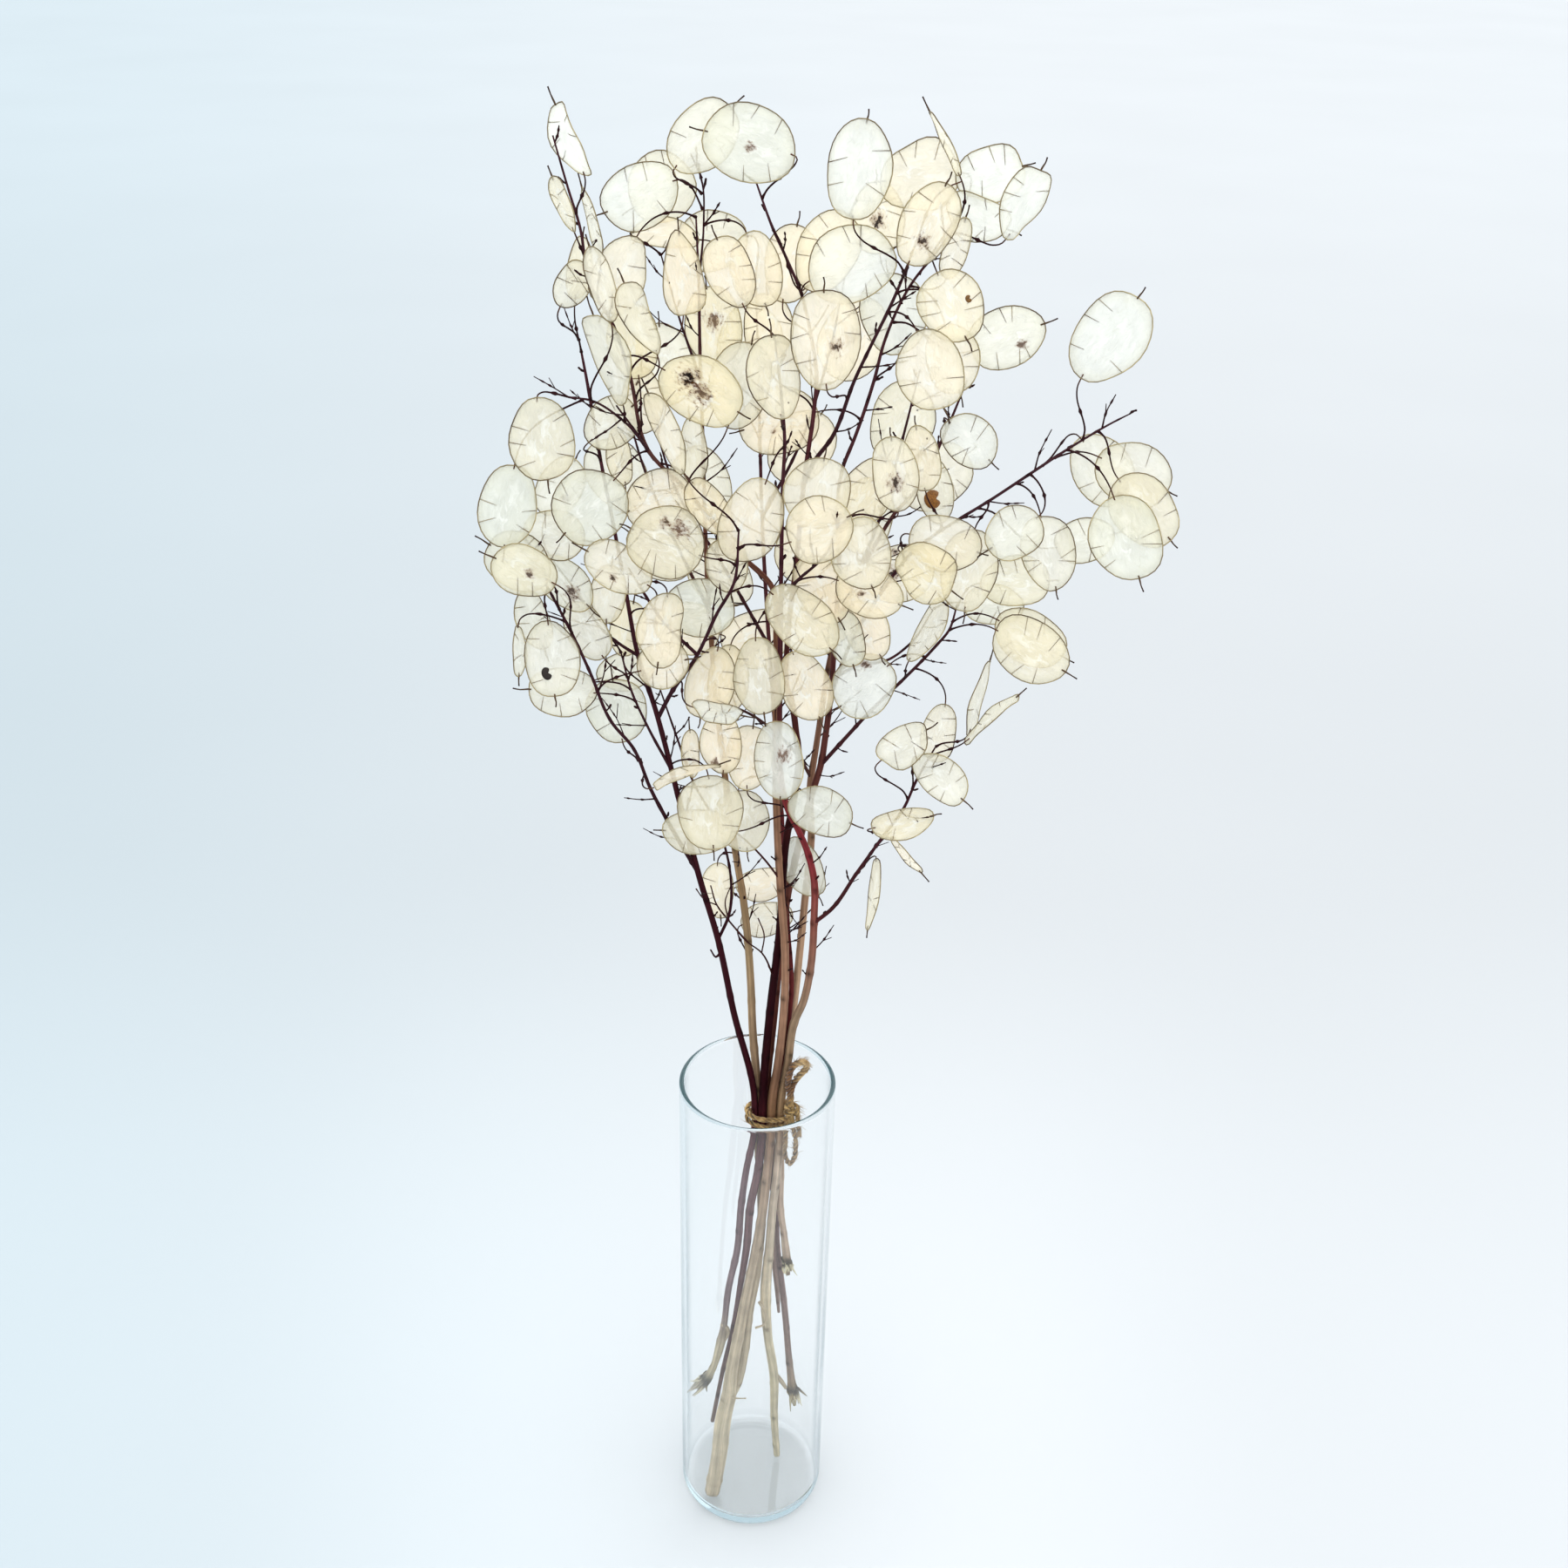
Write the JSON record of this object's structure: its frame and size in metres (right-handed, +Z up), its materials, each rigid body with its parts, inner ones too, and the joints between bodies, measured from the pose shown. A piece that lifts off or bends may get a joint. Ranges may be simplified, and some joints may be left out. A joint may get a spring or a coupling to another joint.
{
  "type": "vase of dried honesty seed pod stems",
  "caption": "Dried honesty seed pod stems with papery oval pods, tied with jute twine, standing in a tall clear glass cylinder vase.",
  "frame": {"origin": "centre of the vase's flat underside, on the surface it stands on", "axes": "+Z up along the vase's axis, -Y towards the viewer, +X to the viewer's right"},
  "size_m": [0.29, 0.1273, 0.7639],
  "materials": {
    "vase": "clear polished soda-lime glass",
    "twine": "twisted natural jute",
    "stem_left_purple": "dry ridged plant stem",
    "stem_pair_tan": "dry ridged plant stem",
    "stem_dark_middle": "dry ridged plant stem",
    "stem_dark_right": "dry ridged plant stem",
    "stem_red_bent": "dry ridged plant stem",
    "stem_pale": "dry ridged plant stem",
    "stem_thin_back": "dry ridged plant stem"
  },
  "bodies": {
    "root": {"vase": "vase", "twine": "twine", "stem_left_purple": "stem_left_purple", "stem_pair_tan": "stem_pair_tan", "stem_dark_middle": "stem_dark_middle", "stem_dark_right": "stem_dark_right", "stem_red_bent": "stem_red_bent", "stem_pale": "stem_pale", "stem_thin_back": "stem_thin_back"}
  },
  "joints": []
}
